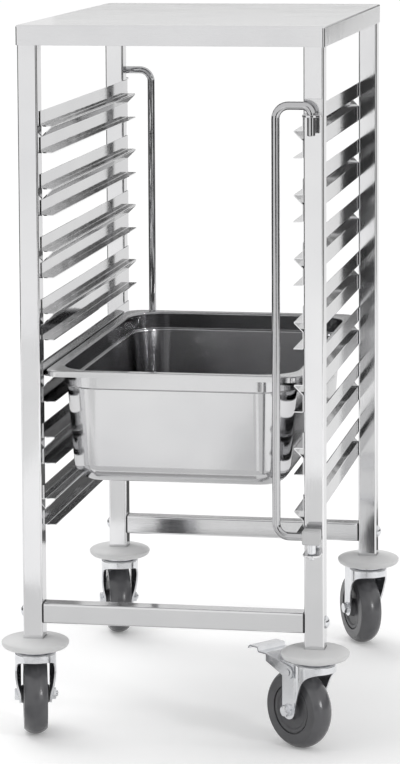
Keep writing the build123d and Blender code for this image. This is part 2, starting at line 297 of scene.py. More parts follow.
def grey(tone):
    return (tone, tone, tone, 1)


def clearTree(owner):
    owner.use_nodes = True
    owner.node_tree.nodes.clear()
    return owner.node_tree


def startFinish(name):
    finish = bpy.data.materials.new(name)
    tree = clearTree(finish)
    shader = addNode(tree, "ShaderNodeBsdfPrincipled")
    output = addNode(tree, "ShaderNodeOutputMaterial")
    tree.links.new(shader.outputs["BSDF"], output.inputs["Surface"])
    return finish, tree, shader


def noiseField(tree, scale, stretch=(1, 1, 1), detail=3.0):
    # noise on the piece's own coordinates, drawn out along its grain
    coords = addNode(tree, "ShaderNodeTexCoord")
    mapping = addNode(tree, "ShaderNodeMapping")
    noise = addNode(tree, "ShaderNodeTexNoise")
    mapping.inputs["Scale"].default_value = stretch
    noise.inputs["Scale"].default_value = scale
    noise.inputs["Detail"].default_value = detail
    tree.links.new(coords.outputs["Object"], mapping.inputs["Vector"])
    tree.links.new(mapping.outputs["Vector"], noise.inputs["Vector"])
    return noise.outputs["Fac"]


def spread(tree, value, low, high):
    # noise as a number from low to high
    span = addNode(tree, "ShaderNodeMapRange")
    span.inputs["From Min"].default_value = noiseSpan[0]
    span.inputs["From Max"].default_value = noiseSpan[1]
    span.inputs["To Min"].default_value = low
    span.inputs["To Max"].default_value = high
    tree.links.new(value, span.inputs["Value"])
    return span.outputs["Result"]


def tones(tree, value, dark, light):
    # noise as a colour from dark to light
    ramp = addNode(tree, "ShaderNodeValToRGB")
    for element, position, colour in zip(ramp.color_ramp.elements, noiseSpan, (dark, light)):
        element.position = position
        element.color = (*colour, 1)
    tree.links.new(value, ramp.inputs["Fac"])
    return ramp.outputs["Color"]


def relief(tree, value, strength, depth, under=None):
    bump = addNode(tree, "ShaderNodeBump")
    bump.inputs["Strength"].default_value = strength
    bump.inputs["Distance"].default_value = depth
    tree.links.new(value, bump.inputs["Height"])
    if under:
        tree.links.new(under, bump.inputs["Normal"])
    return bump.outputs["Normal"]


steelLooks = {
    "sheetX": {"dark": (0.66, 0.66, 0.67), "light": (0.72, 0.72, 0.725), "stretch": (1, 30, 30),
               "rough": (0.07, 0.14), "wave": 0.05, "edge": 0.8},
    "sheetY": {"dark": (0.68, 0.68, 0.69), "light": (0.74, 0.74, 0.745), "stretch": (30, 1, 30),
               "rough": (0.05, 0.11), "wave": 0.06, "edge": 0.8},
    "tubeZ": {"dark": (0.70, 0.70, 0.71), "light": (0.76, 0.76, 0.765), "stretch": (30, 30, 1),
              "rough": (0.05, 0.11), "wave": 0.06, "edge": 0.85},
    "tubeX": {"dark": (0.68, 0.68, 0.69), "light": (0.74, 0.74, 0.745), "stretch": (1, 30, 30),
              "rough": (0.06, 0.12), "wave": 0.05, "edge": 0.8},
    "container": {"dark": (0.56, 0.56, 0.57), "light": (0.62, 0.62, 0.625), "stretch": (25, 25, 25),
                  "rough": (0.09, 0.15), "wave": 0.04, "edge": 0.8},
    # the pan's inside: the same steel made darker, painted shade of the inside of the pan
    "containerInside": {"dark": (0.35, 0.35, 0.36), "light": (0.395, 0.395, 0.40), "stretch": (25, 25, 25),
                        "rough": (0.12, 0.2), "wave": 0.03, "edge": 0.72},
    "rod": {"dark": (0.46, 0.46, 0.47), "light": (0.53, 0.53, 0.535), "stretch": (30, 30, 2),
            "rough": (0.06, 0.12), "wave": 0.02, "edge": 0.72},
}
steelSurface = {"cloudScale": 9, "grainScale": 60, "grainDetail": 5, "grainRelief": 0.03,
                "grainDepth": 0.0002, "waveScale": 14, "waveDetail": 1, "waveDepth": 0.004}


def steelFinish(name):
    # polished stainless: fine drawn grain, a little uneven, a little wavy
    look = steelLooks[name]
    surface = steelSurface
    finish, tree, shader = startFinish(name + "Steel")
    cloud = noiseField(tree, surface["cloudScale"])
    grain = noiseField(tree, surface["grainScale"], stretch=look["stretch"], detail=surface["grainDetail"])
    wave = noiseField(tree, surface["waveScale"], detail=surface["waveDetail"])
    shader.inputs["Metallic"].default_value = 1
    shader.inputs["Specular Tint"].default_value = grey(look["edge"])
    tree.links.new(tones(tree, cloud, look["dark"], look["light"]), shader.inputs["Base Color"])
    tree.links.new(spread(tree, grain, *look["rough"]), shader.inputs["Roughness"])
    waves = relief(tree, wave, look["wave"], surface["waveDepth"])
    lines = relief(tree, grain, surface["grainRelief"], surface["grainDepth"], under=waves)
    tree.links.new(lines, shader.inputs["Normal"])
    return finish


zincLook = {"dark": (0.66, 0.67, 0.69), "light": (0.78, 0.785, 0.80), "rough": (0.14, 0.24),
            "mottleScale": 90, "mottleDetail": 4, "relief": 0.05, "depth": 0.0004}


def zincFinish():
    # bright zinc plate with a faint cool mottle
    look = zincLook
    finish, tree, shader = startFinish("brightZinc")
    mottle = noiseField(tree, look["mottleScale"], detail=look["mottleDetail"])
    shader.inputs["Metallic"].default_value = 1
    tree.links.new(tones(tree, mottle, look["dark"], look["light"]), shader.inputs["Base Color"])
    tree.links.new(spread(tree, mottle, *look["rough"]), shader.inputs["Roughness"])
    tree.links.new(relief(tree, mottle, look["relief"], look["depth"]), shader.inputs["Normal"])
    return finish


mouldedLooks = {
    "bumperGrey": {"dark": (0.66, 0.66, 0.66), "light": (0.73, 0.73, 0.73),
                   "rough": (0.36, 0.48), "grainScale": 900},
    "hubGrey": {"dark": (0.075, 0.075, 0.08), "light": (0.10, 0.10, 0.105),
                "rough": (0.34, 0.46), "grainScale": 700},
    "tyreGrey": {"dark": (0.07, 0.07, 0.075), "light": (0.10, 0.10, 0.105),
                 "rough": (0.20, 0.27), "grainScale": 500},
    "plugBlack": {"dark": (0.022, 0.022, 0.024), "light": (0.034, 0.034, 0.036),
                  "rough": (0.4, 0.5), "grainScale": 800},
    "footGrey": {"dark": (0.5, 0.5, 0.505), "light": (0.57, 0.57, 0.575),
                 "rough": (0.48, 0.62), "grainScale": 1200},
}
mouldedSurface = {"cloudScale": 25, "grainDetail": 2, "grainRelief": 0.12, "grainDepth": 0.0002}


def mouldedFinish(name):
    # moulded or coated surface: cloudy colour, fine grain
    look = mouldedLooks[name]
    surface = mouldedSurface
    finish, tree, shader = startFinish(name)
    cloud = noiseField(tree, surface["cloudScale"])
    grain = noiseField(tree, look["grainScale"], detail=surface["grainDetail"])
    tree.links.new(tones(tree, cloud, look["dark"], look["light"]), shader.inputs["Base Color"])
    tree.links.new(spread(tree, cloud, *look["rough"]), shader.inputs["Roughness"])
    lines = relief(tree, grain, surface["grainRelief"], surface["grainDepth"])
    tree.links.new(lines, shader.inputs["Normal"])
    return finish


steel = {name: steelFinish(name) for name in steelLooks}
moulded = {name: mouldedFinish(name) for name in mouldedLooks}
zinc = zincFinish()
print("finishes ready:", len(steel) + len(moulded) + 1)


# Pieces that keep the CAD shape, with soft edges in millimetres and even shading

def keptShape(finish, slot, edge):
    return {"finish": finish, "slot": slot, "edge": edge}


keptShapes = {
    "worktop": keptShape(steel["sheetX"], "sheet_steel", 0.2),
    "crossbar_front": keptShape(steel["tubeX"], "tube_steel", 0.15),
    "crossbar_rear": keptShape(steel["tubeX"], "tube_steel", 0.15),
    "crossbar_end_plugs": keptShape(moulded["plugBlack"], "plug_plastic", 0.2),
    "post_end_plugs": keptShape(moulded["plugBlack"], "plug_plastic", 0.3),
    "caster_stems": keptShape(zinc, "zinc_plate", 0.3),
    "brake_pedal": keptShape(zinc, "zinc_plate", 0.35),
    "brake_pedal_rivets": keptShape(zinc, "zinc_plate", 0.35),
}
for end in ("front", "rear"):
    for height in ("upper", "lower"):
        keptShapes[height + "_bracket_" + end] = keptShape(steel["sheetX"], "sheet_steel", 0.3)
for corner in corners:
    keptShapes["post_" + corner] = keptShape(steel["tubeZ"], "tube_steel", 0.15)
    keptShapes["bumper_" + corner] = keptShape(moulded["bumperGrey"], "bumper_plastic", 0.5)
    keptShapes["caster_fork_" + corner] = keptShape(zinc, "zinc_plate", 0.3)
    keptShapes["swivel_race_" + corner] = keptShape(zinc, "zinc_plate", 0.0)

bodyOf = {node: body for body, nodes in frame["record"]["behaviour"]["bodies"].items() for node in nodes}
for node, look in keptShapes.items():
    piece = copyNode(node, look["edge"] * mm)
    dress(piece, look["finish"])
    settle(piece, bodyOf[node], look["slot"], node)
print("kept shapes:", len(keptShapes))


# Runners, one folded section repeated down each side

runner = {"sheet": 1.2, "reach": 12.5, "guard": 19.0, "drop": 33.0, "lap": 12.5,
          "bend": 1.3, "tipBend": 0.9, "bendSteps": 5, "levels": 7}


def runnerTree():
    tree, start, end = newTree("runnerStack", {"Levels": "Int", "Pitch": "Float", "Finish": "Material"})
    drop = addNode(tree, "ShaderNodeMath", operation="MULTIPLY")
    drop.inputs[1].default_value = -1
    step = addNode(tree, "ShaderNodeCombineXYZ")
    line = addNode(tree, "GeometryNodeMeshLine", mode="OFFSET")
    copies = addNode(tree, "GeometryNodeInstanceOnPoints")
    tree.links.new(start.outputs["Pitch"], drop.inputs[0])
    tree.links.new(drop.outputs["Value"], step.inputs["Z"])
    tree.links.new(step.outputs["Vector"], line.inputs["Offset"])
    tree.links.new(start.outputs["Levels"], line.inputs["Count"])
    tree.links.new(line.outputs["Mesh"], copies.inputs["Points"])
    tree.links.new(start.outputs["Geometry"], copies.inputs["Instance"])
    finishTree(tree, start, end, copies.outputs["Instances"])
    return tree


def leftRunner(name):
    # the highest runner of the left side: web, ledge, lip folded back, web, foot
    low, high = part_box("runner_left_1")
    size = inMetres(runner)
    sheet = size["sheet"]
    ledge = high.z - size["guard"]
    tip = size["reach"] - sheet / 2 + sheet / math.sqrt(2)
    footZ = ledge - size["drop"] - sheet / 2
    line = [(sheet / 2, high.z), (sheet / 2, ledge - sheet / 2), (tip, ledge - sheet / 2),
            (sheet / 2, ledge - tip), (sheet / 2, footZ), (size["reach"], footZ)]
    bends = [0, size["bend"], size["tipBend"], size["bend"], size["bend"], 0]
    left, right = sheetFaces(line, bends, sheet, runner["bendSteps"])
    section = left + right[::-1]
    total = len(section)
    points = [(low.x + x, y, z) for y in (high.y, low.y + size["lap"]) for x, z in section]
    faces = []
    for index in range(total):
        after = (index + 1) % total
        faces.append((index, after, total + after, total + index))
    # end faces; the flat webs, before the first bend and after the third, run on as laps for the welds
    webCells = (0, 3 * (runner["bendSteps"] + 1))
    for cell in range(len(left) - 1):
        behind = (cell, cell + 1, total - 2 - cell, total - 1 - cell)
        ahead = tuple(total + index for index in behind)
        faces.append(behind)
        if cell not in webCells:
            faces.append(ahead)
            continue
        lap = tuple(len(points) + index for index in range(4))
        points += [(points[index][0], low.y, points[index][2]) for index in ahead]
        faces.append(lap)
        for side in range(4):
            after = (side + 1) % 4
            faces.append((ahead[side], ahead[after], lap[after], lap[side]))
    return solidPiece(name, points, faces)


def runners():
    tree = runnerTree()
    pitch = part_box("runner_left_1")[1].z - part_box("runner_left_2")[1].z
    middleY = (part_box("post_front_left")[0].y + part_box("post_rear_left")[1].y) / 2
    middle = Matrix.Translation((0, middleY, 0))
    halfTurn = middle @ Matrix.Rotation(math.pi, 4, "Z") @ middle.inverted()
    for side in ("left", "right"):
        piece = leftRunner("runners_" + side)
        if side == "right":
            place(piece, halfTurn)
        runTree(piece, tree, {"Levels": runner["levels"], "Pitch": pitch, "Finish": steel["sheetY"]})
        shadeEvenly(piece)
        nodes = ["runner_" + side + "_" + str(level + 1) for level in range(runner["levels"])]
        settle(piece, "frame", "sheet_steel", *nodes)


runners()
print("runners placed")


# Retaining bars of bent rod, with the block and pin they turn on

bar = {"radius": 5.0, "bend": 16.0, "hookBend": 10.5, "reach": 43.5, "hook": 36.5, "endTaper": 0.8,
       "bendSteps": 14, "roundSteps": 28, "sharpAngle": 30}
foot = {"corner": 1.8, "chamfer": 1.2, "pinRadius": 5.0, "pinChamfer": 0.6, "pinLength": 12.5,
        "spigotRadius": 3.0, "cornerSteps": 6, "roundSteps": 32}


def rodTree():
    tree, start, end = newTree("bentRod", {"Radius": "Float", "Round Steps": "Int", "Bend Steps": "Int",
                                           "Finish": "Material"})
    line = addNode(tree, "GeometryNodeMeshToCurve")
    bends = addNode(tree, "GeometryNodeInputNamedAttribute", data_type="FLOAT")
    bends.inputs["Name"].default_value = "bend"
    taper = addNode(tree, "GeometryNodeInputNamedAttribute", data_type="FLOAT")
    taper.inputs["Name"].default_value = "taper"
    fillet = addNode(tree, "GeometryNodeFilletCurve", mode="POLY")
    circle = addNode(tree, "GeometryNodeCurvePrimitiveCircle")
    tube = addNode(tree, "GeometryNodeCurveToMesh")
    tube.inputs["Fill Caps"].default_value = True
    tree.links.new(start.outputs["Geometry"], line.inputs["Mesh"])
    tree.links.new(line.outputs["Curve"], fillet.inputs["Curve"])
    tree.links.new(start.outputs["Bend Steps"], fillet.inputs["Count"])
    tree.links.new(bends.outputs["Attribute"], fillet.inputs["Radius"])
    tree.links.new(start.outputs["Round Steps"], circle.inputs["Resolution"])
    tree.links.new(start.outputs["Radius"], circle.inputs["Radius"])
    tree.links.new(fillet.outputs["Curve"], tube.inputs["Curve"])
    tree.links.new(circle.outputs["Curve"], tube.inputs["Profile Curve"])
    tree.links.new(taper.outputs["Attribute"], tube.inputs["Scale"])
    finishTree(tree, start, end, tube.outputs["Mesh"])
    return tree


def rodLine(name, points, bends, tapers):
    mesh = bpy.data.meshes.new(name)
    mesh.from_pydata(points, [(index, index + 1) for index in range(len(points) - 1)], [])
    for label, values in (("bend", bends), ("taper", tapers)):
        layer = mesh.attributes.new(label, "FLOAT", "POINT")
        layer.data.foreach_set("value", values)
    return newObject(name, mesh)


def retainingBar(end, turn, tree):
    # hook leg down into the upper bracket, along, down the opening, back to the block
    pivot = Vector(joints["retaining_bar_" + end + "_swing"]["pos_m"])
    size = inMetres(bar)
    radius = size["radius"]
    taper = size["endTaper"]
    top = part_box("retaining_bar_" + end)[1].z - radius
    hookEnd = top - size["hook"]
    runX = pivot.x - turn * size["reach"]
    blockLow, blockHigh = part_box("hinge_foot_" + end)
    blockX = blockLow.x if turn > 0 else blockHigh.x
    line = [(pivot.x, hookEnd), (pivot.x, hookEnd + taper), (pivot.x, top), (runX, top), (runX, pivot.z),
            (blockX, pivot.z)]
    points = [(x, pivot.y, z) for x, z in line]
    bends = [0, 0, size["hookBend"], size["bend"], size["bend"], 0]
    piece = rodLine("retainingBar_" + end, points, bends, [1 - taper / radius, 1, 1, 1, 1, 1])
    runTree(piece, tree, {"Radius": radius, "Round Steps": bar["roundSteps"], "Bend Steps": bar["bendSteps"],
                          "Finish": steel["rod"]})
    shadeEvenly(piece, bar["sharpAngle"])
    settle(piece, "retaining_bar_" + end, "rod_steel", "retaining_bar_" + end)


def hingeFoot(end):
    # grey block on the bar's pivot, with a pin and its spigot below
    pivot = Vector(joints["retaining_bar_" + end + "_swing"]["pos_m"])
    low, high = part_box("hinge_foot_" + end)
    size = inMetres(foot)
    halfX = (high.x - low.x) / 2
    halfY = (high.y - low.y) / 2
    halfZ = high.z - pivot.z
    chamfer = size["chamfer"]
    rings = []
    for inset, z in ((chamfer, -halfZ), (0, chamfer - halfZ), (0, halfZ - chamfer), (chamfer, halfZ)):
        outline = roundedBox(halfX - inset, halfY - inset, size["corner"], foot["cornerSteps"])
        rings.append([(x, y, z) for x, y in outline])
    block = loft("block", rings)
    shoulder = -halfZ - size["pinLength"]
    tip = low.z - pivot.z
    radius = size["pinRadius"]
    spigot = size["spigotRadius"]
    edge = size["pinChamfer"]
    outline = [(0, 0), (radius, 0), (radius, shoulder + edge), (radius - edge, shoulder), (spigot, shoulder),
               (spigot, tip + edge), (spigot - edge, tip), (0, tip)]
    pin = turned("pin", outline, foot["roundSteps"])
    for part in (block, pin):
        place(part, Matrix.Translation(pivot))
        shadeEvenly(part)
    piece = joinPieces("hingeFoot_" + end, [(block, moulded["footGrey"]), (pin, zinc)])
    settle(piece, "retaining_bar_" + end, "foot_metal", "hinge_foot_" + end)


barTree = rodTree()
for end, turn in (("front", 1), ("rear", -1)):
    retainingBar(end, turn, barTree)
    hingeFoot(end)
print("retaining bars placed")


# Container, one drawn sheet: base, wall, stacking shoulder, rim turned down

container = {"sheet": 0.8, "rimWidth": 13.0, "rimHeight": 7.5, "rimCorner": 18.0, "corner": 52.0,
             "shoulderDepth": 24.0, "shoulderStep": 3.5, "draft": 4.5, "baseRound": 24.0,
             "shoulderBend": 1.7, "neckBend": 1.5, "rimBend": 2.4, "edgeBend": 1.5,
             "cornerSteps": 14, "bendSteps": 7, "baseStart": 2.0, "sharpAngle": 30}


def gnContainer():
    low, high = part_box("gn_container")
    middle = (low + high) / 2
    size = inMetres(container)
    sheet = size["sheet"]
    corner = size["corner"]
    coreX = (high.x - low.x) / 2 - size["rimWidth"] - corner
    coreY = (high.y - low.y) / 2 - size["rimWidth"] - corner
    # heights and reaches of the sheet's middle line
    shoulder = high.z - size["shoulderDepth"]
    baseZ = low.z + sheet / 2
    ledgeZ = shoulder + sheet / 2
    rimZ = high.z - sheet / 2
    wallTop = corner - size["shoulderStep"] - sheet / 2
    wallLow = wallTop - (shoulder - low.z) * math.tan(math.radians(container["draft"]))
    neck = corner - sheet / 2
    rim = corner + size["rimWidth"] - sheet / 2
    line = [(size["baseStart"], baseZ), (wallLow, baseZ), (wallTop, ledgeZ), (neck, ledgeZ), (neck, rimZ),
            (rim, rimZ), (rim, high.z - size["rimHeight"])]
    bends = [0, size["baseRound"], size["shoulderBend"], size["neckBend"], size["rimBend"],
             size["edgeBend"], 0]
    inside, outside = sheetFaces(line, bends, sheet, container["bendSteps"])

    def ring(reach, z):
        # corners tighten from the wall's radius to the rim's
        share = max(0.0, (reach - corner) / size["rimWidth"])
        radius = reach if reach <= corner else corner + (size["rimCorner"] - corner) * min(1.0, share)
        outline = roundedBox(coreX + reach, coreY + reach, radius, container["cornerSteps"])
        return [(middle.x + x, middle.y + y, z) for x, y in outline]

    piece = loft("gnContainer", [ring(*point) for point in outside + inside[::-1]])
    dress(piece, steel["container"])
    # faces that face into the pan take the darker copy of the steel: painted shade inside the pan
    piece.data.materials.append(steel["containerInside"])
    mouth = Vector((middle.x, middle.y, high.z))
    for face in piece.data.polygons:
        face.material_index = int(face.normal.dot(mouth - face.center) > sheet)
    shadeEvenly(piece, container["sharpAngle"])
    settle(piece, "container", "container_steel", "gn_container")


gnContainer()
print("container placed")


# Domed bolts through the posts, the same bolt at the four crossbar ends

bolt = {"headRadius": 8.0, "headHeight": 5.5, "headEdge": 1.2, "shankRadius": 4.0, "shank": 46.0,
        "domeSteps": 8, "roundSteps": 32}


def boltTree():
    tree, start, end = newTree("crossbarBolts", {"Width": "Float", "Depth": "Float", "Middle": "Vector",
                                                 "Finish": "Material"})
    grid = addNode(tree, "GeometryNodeMeshGrid")
    grid.inputs["Vertices X"].default_value = 2
    grid.inputs["Vertices Y"].default_value = 2
    shift = addNode(tree, "GeometryNodeTransform")
    spot = addNode(tree, "GeometryNodeInputPosition")
    parts = addNode(tree, "ShaderNodeSeparateXYZ")
    isLeft = addNode(tree, "ShaderNodeMath", operation="LESS_THAN")
    isLeft.inputs[1].default_value = 0
    angle = addNode(tree, "ShaderNodeMath", operation="MULTIPLY")
    angle.inputs[1].default_value = math.pi  # the left bolts face the other way
    turn = addNode(tree, "FunctionNodeAxisAngleToRotation")
    copies = addNode(tree, "GeometryNodeInstanceOnPoints")
    tree.links.new(start.outputs["Width"], grid.inputs["Size X"])
    tree.links.new(start.outputs["Depth"], grid.inputs["Size Y"])
    tree.links.new(grid.outputs["Mesh"], shift.inputs["Geometry"])
    tree.links.new(start.outputs["Middle"], shift.inputs["Translation"])
    tree.links.new(spot.outputs["Position"], parts.inputs["Vector"])
    tree.links.new(parts.outputs["X"], isLeft.inputs[0])
    tree.links.new(isLeft.outputs["Value"], angle.inputs[0])
    tree.links.new(angle.outputs["Value"], turn.inputs["Angle"])
    tree.links.new(shift.outputs["Geometry"], copies.inputs["Points"])
    tree.links.new(start.outputs["Geometry"], copies.inputs["Instance"])
    tree.links.new(turn.outputs["Rotation"], copies.inputs["Rotation"])
    finishTree(tree, start, end, copies.outputs["Instances"])
    return tree


def crossbarBolts():
    low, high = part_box("crossbar_bolts")
    size = inMetres(bolt)
    rise = size["headHeight"] - size["headEdge"]
    dome = (size["headRadius"] ** 2 + rise ** 2) / (2 * rise)
    span = math.asin(size["headRadius"] / dome)
    outline = [(0, -size["shank"]), (size["shankRadius"], -size["shank"]), (size["shankRadius"], 0),
               (size["headRadius"], 0), (size["headRadius"], size["headEdge"])]
    for step in range(1, bolt["domeSteps"] + 1):
        angle = span * (1 - step / bolt["domeSteps"])
        outline.append((dome * math.sin(angle), size["headHeight"] - dome * (1 - math.cos(angle))))
    piece = turned("crossbarBolts", outline, bolt["roundSteps"])
    place(piece, Matrix.Rotation(math.pi / 2, 4, "Y"))
    runTree(piece, boltTree(), {
        "Width": high.x - low.x - 2 * size["headHeight"], "Depth": high.y - low.y - 2 * size["headRadius"],
        "Middle": tuple((low + high) / 2), "Finish": zinc})
    shadeEvenly(piece)
    settle(piece, "frame", "zinc_plate", "crossbar_bolts")


crossbarBolts()
print("bolts placed")


# Wheels: tyre, hub and axle of each caster

wheel = {"radius": 50.0, "width": 30.0, "shoulder": 7.0, "bore": 31.0, "sideRound": 2.6, "beadRound": 0.6,
         "bendSteps": 4, "crownSteps": 18, "roundSteps": 96, "sharpAngle": 50}
hub = {"bore": 6.1, "boreRound": 0.3, "boss": 17.7, "bossRadius": 11.0, "face": 14.0, "dish": 2.0,
       "rim": 29.6, "rimWidth": 4.0, "radius": 30.98, "groove": 1.6, "grooveRound": 0.2, "round": 0.7,
       "bendSteps": 3, "roundSteps": 72}
axle = {"half": 20.5, "flange": 8.0, "flangeHeight": 1.4, "flangeEdge": 0.3, "flats": 13.0, "headHeight": 4.4,
        "topShare": 0.96, "cornerAngle": 30, "tip": 2.6, "tipChamfer": 0.7, "shank": 3.95, "bore": 4.0,
        "hexSteps": 8, "roundSteps": 32}


def casterAxes(corner):
    # a turned shape's own frame: Z along the axle, origin in the middle of the wheel
    spin = joints["wheel_" + corner + "_spin"]
    across = Vector(spin["axis"]).normalized()
    up = Vector((0, 0, 1))
    axes = Matrix((across, up.cross(across), up)).transposed().to_4x4()
    return Matrix.Translation(spin["pos_m"]) @ axes @ Matrix.Rotation(math.pi / 2, 4, "Y")


def tyre(corner):
    size = inMetres(wheel)
    half = size["width"] / 2
    crown = (half ** 2 + size["shoulder"] ** 2) / (2 * size["shoulder"])
    span = math.asin(half / crown)
    tread = []
    for step in range(wheel["crownSteps"] + 1):
        angle = span * (2 * step / wheel["crownSteps"] - 1)
        tread.append((size["radius"] - crown * (1 - math.cos(angle)), crown * math.sin(angle)))
    line = [(size["bore"], -half), *tread, (size["bore"], half)]
    side = [size["beadRound"], size["sideRound"]]
    radii = side + [0] * (len(tread) - 2) + side[::-1]
    outline = roundedOutline(line, radii, wheel["bendSteps"])
    piece = turned("tyre_" + corner + "_shape", outline, wheel["roundSteps"], closed=True)
    place(piece, casterAxes(corner))
    dress(piece, moulded["tyreGrey"])
    shadeEvenly(piece, wheel["sharpAngle"])
    settle(piece, "wheel_" + corner, "tyre_rubber", "tyre_" + corner)


def wheelHub(corner):
    # boss, dished web, rim and the groove beside the tyre, the same on both sides
    size = inMetres(hub)
    web = size["face"] - size["dish"]
    floor = size["face"] - size["groove"]
    rimStart = size["rim"] - size["rimWidth"]
    half = [(size["bore"], size["boss"]), (size["bossRadius"], size["boss"]),
            (size["bossRadius"] + size["dish"], web), (rimStart - size["dish"], web),
            (rimStart, size["face"]), (size["rim"], size["face"]),
            (size["rim"], floor), (size["radius"], floor)]
    other = [(radius, -height) for radius, height in reversed(half)]
    radii = [size["boreRound"]] + [size["round"]] * 5 + [size["grooveRound"], 0]
    outline = roundedOutline(half + other, radii + radii[::-1], hub["bendSteps"])
    piece = turned("wheelHub_" + corner, outline, hub["roundSteps"], closed=True)
    place(piece, casterAxes(corner))
    dress(piece, moulded["hubGrey"])
    shadeEvenly(piece)
    settle(piece, "wheel_" + corner, "hub_plastic", "wheel_hub_" + corner)


def hexHead(name, bore):
    # round flange below, hexagon above with its corners turned off, open for a thread or closed
    size = inMetres(axle)
    angles = turnAngles(6 * axle["hexSteps"])
    side = math.pi / 3  # angle of one side of the hexagon
    apothem = size["flats"] / 2
    topRadius = apothem * axle["topShare"]
    top = size["flangeHeight"] + size["headHeight"]
    slope = math.tan(math.radians(axle["cornerAngle"]))
    edge = size["flangeEdge"]
    hexRadii = [apothem / math.cos((angle + side / 2) % side - side / 2) for angle in angles]

    def ring(radii, heights):
        return [(radius * math.cos(angle), radius * math.sin(angle), height)
                for angle, radius, height in zip(angles, radii, heights)]

    def circle(radius, height):
        return ring([radius] * len(angles), [height] * len(angles))

    rings = [
        circle(bore, 0),
        circle(size["flange"], 0),
        circle(size["flange"], size["flangeHeight"] - edge),
        circle(size["flange"] - edge, size["flangeHeight"]),
        ring(hexRadii, [size["flangeHeight"]] * len(angles)),
        ring(hexRadii, [top - (radius - topRadius) * slope for radius in hexRadii]),
        circle(topRadius, top),
        circle(bore, top),
    ]
    return loft(name, rings, closed=True)


def axleSet(corner):
    # bolt head at one end, nut at the other, the shank through both
    size = inMetres(axle)
    half = size["half"]
    outwards = Matrix.Translation((0, 0, half))
    head = hexHead("head", 0.0)
    place(head, outwards)
    place(head, Matrix.Rotation(math.pi, 4, "Y"))
    nut = hexHead("nut", size["bore"])
    place(nut, outwards)
    tip = half + size["flangeHeight"] + size["headHeight"] + size["tip"]
    radius = size["shank"]
    chamfer = size["tipChamfer"]
    outline = [(0, -half), (radius, -half), (radius, tip - chamfer), (radius - chamfer, tip), (0, tip)]
    shank = turned("shank", outline, axle["roundSteps"])
    parts = []
    for part in (head, nut, shank):
        place(part, casterAxes(corner))
        shadeEvenly(part)
        parts.append((part, zinc))
    piece = joinPieces("axleSet_" + corner, parts)
    settle(piece, "swivel_" + corner, "zinc_plate", "axle_" + corner)


for corner in corners:
    tyre(corner)
    wheelHub(corner)
    axleSet(corner)
print("wheels placed")


# Studio: white floor and surround, soft lamps, grey cards that only reflections see: glowing cards that paint
# dark reflections into the steel and painted shade into its reflection of the floor

studio = {"floorSize": 40.0, "floorTone": 0.9, "floorLift": 0.18, "surround": 0.6, "white": 1.0,
          "aim": (0, 0, 0.45), "cardLift": 0.004}
lamps = {
    "keyLamp": {"from": (-2.6, -2.8, 3.2), "size": 2.2, "power": 18.0, "mirrored": False},
    "sideLamp": {"from": (2.2, -1.9, 1.7), "size": 0.4, "power": 16.0, "mirrored": False},
    "tyreLamp": {"from": (2.2, -1.9, 0.75), "size": 0.4, "power": 16.0, "mirrored": True, "only": "tyre_"},
    "panLamp": {"from": (3.2, -2.7, 1.03), "size": 0.3, "power": 50.0, "mirrored": True,
                "only": "gnContainer"},
    "panSideLamp": {"from": (3.5, -0.4, 1.05), "size": 0.3, "power": 50.0, "mirrored": True,
                    "only": "gnContainer"},
}
skyLamp = {"from": (-0.9, 0.8, 3.0), "strength": 1.15, "angle": 50.0}
# upright cards glow dark grey where only reflections see them: painted dark reflections on the steel and the
# pan
uprightPaintedReflections = {
    "cameraCard": {"middle": (1.35, -4.7, 0.5), "size": (3.0, 1.0), "tone": 0.02, "faces": (0, 0)},
    "leftCard": {"middle": (-2.9, 2.6, 0.5), "size": (1.6, 1.0), "tone": 0.02, "faces": (0, 0)},
    "rightCard": {"middle": (3.3, 2.4, 0.5), "size": (1.6, 1.0), "tone": 0.02, "faces": (0, 0)},
    "sideLeftCard": {"middle": (-3.2, 0.2, 0.5), "size": (4.4, 1.0), "tone": 0.1, "faces": (0, 0.2)},
    "sideRightCard": {"middle": (3.6, 0.2, 0.5), "size": (4.0, 1.0), "tone": 0.1, "faces": (0, 0.2)},
    "rearCard": {"middle": (-0.87, 1.25, 0.75), "size": (1.06, 0.31), "tone": 0.35, "faces": (0, 0.6)},
    "rearLowCard": {"middle": (-0.87, 1.25, 0.3), "size": (1.06, 0.4), "tone": 0.35, "faces": (0, 0.6)},
    "hollowCard": {"middle": (0.596, 3.5, 1.0145), "size": (0.16, 0.85), "tone": 0.05, "faces": (0, 0),
                   "lean": -34.8},
    "hollowNearCard": {"middle": (0.304, -0.75, 0.7), "size": (0.1, 0.62), "tone": 0.05, "faces": (0.304, 0),
                       "lean": 12.5},
    "panCard": {"middle": (-0.6, 3.5, 0.96), "size": (0.8, 0.13), "tone": 0.05, "faces": (0, 0)},
}
# cards lying on the floor, seen only in reflections: painted shade of the floor under and before the trolley,
# and painted dark patches further out, in the steel's reflection of the floor
floorPaintedShade = {
    "underFloorCard": {"middle": (-0.1, -0.39), "size": (0.36, 0.16), "tone": 0.5},
    "rearFloorCard": {"middle": (-0.55, 2.85), "size": (0.8, 3.9), "tone": 0.28},
    "lowFloorCard": {"middle": (0.075, 1.4), "size": (0.45, 1.2), "tone": 0.12},
    "rightFloorCard": {"middle": (0.43, -1.55), "size": (0.36, 1.9), "tone": 0.85},
    "halfFloorCard": {"middle": (0.62, -2.85), "size": (0.5, 0.7), "tone": 0.3},
    "farFloorCard": {"middle": (0.62, -3.95), "size": (0.5, 1.5), "tone": 0.02},
    "postFloorCard": {"middle": (0.0, -1.55), "size": (0.2, 0.9), "tone": 0.82},
    "nearFloorCard": {"middle": (-0.35, -0.81), "size": (1.18, 0.58), "tone": 0.8},
    "frontFloorCard": {"middle": (-1.095, -2.33), "size": (0.99, 2.2), "tone": 0.91},
}


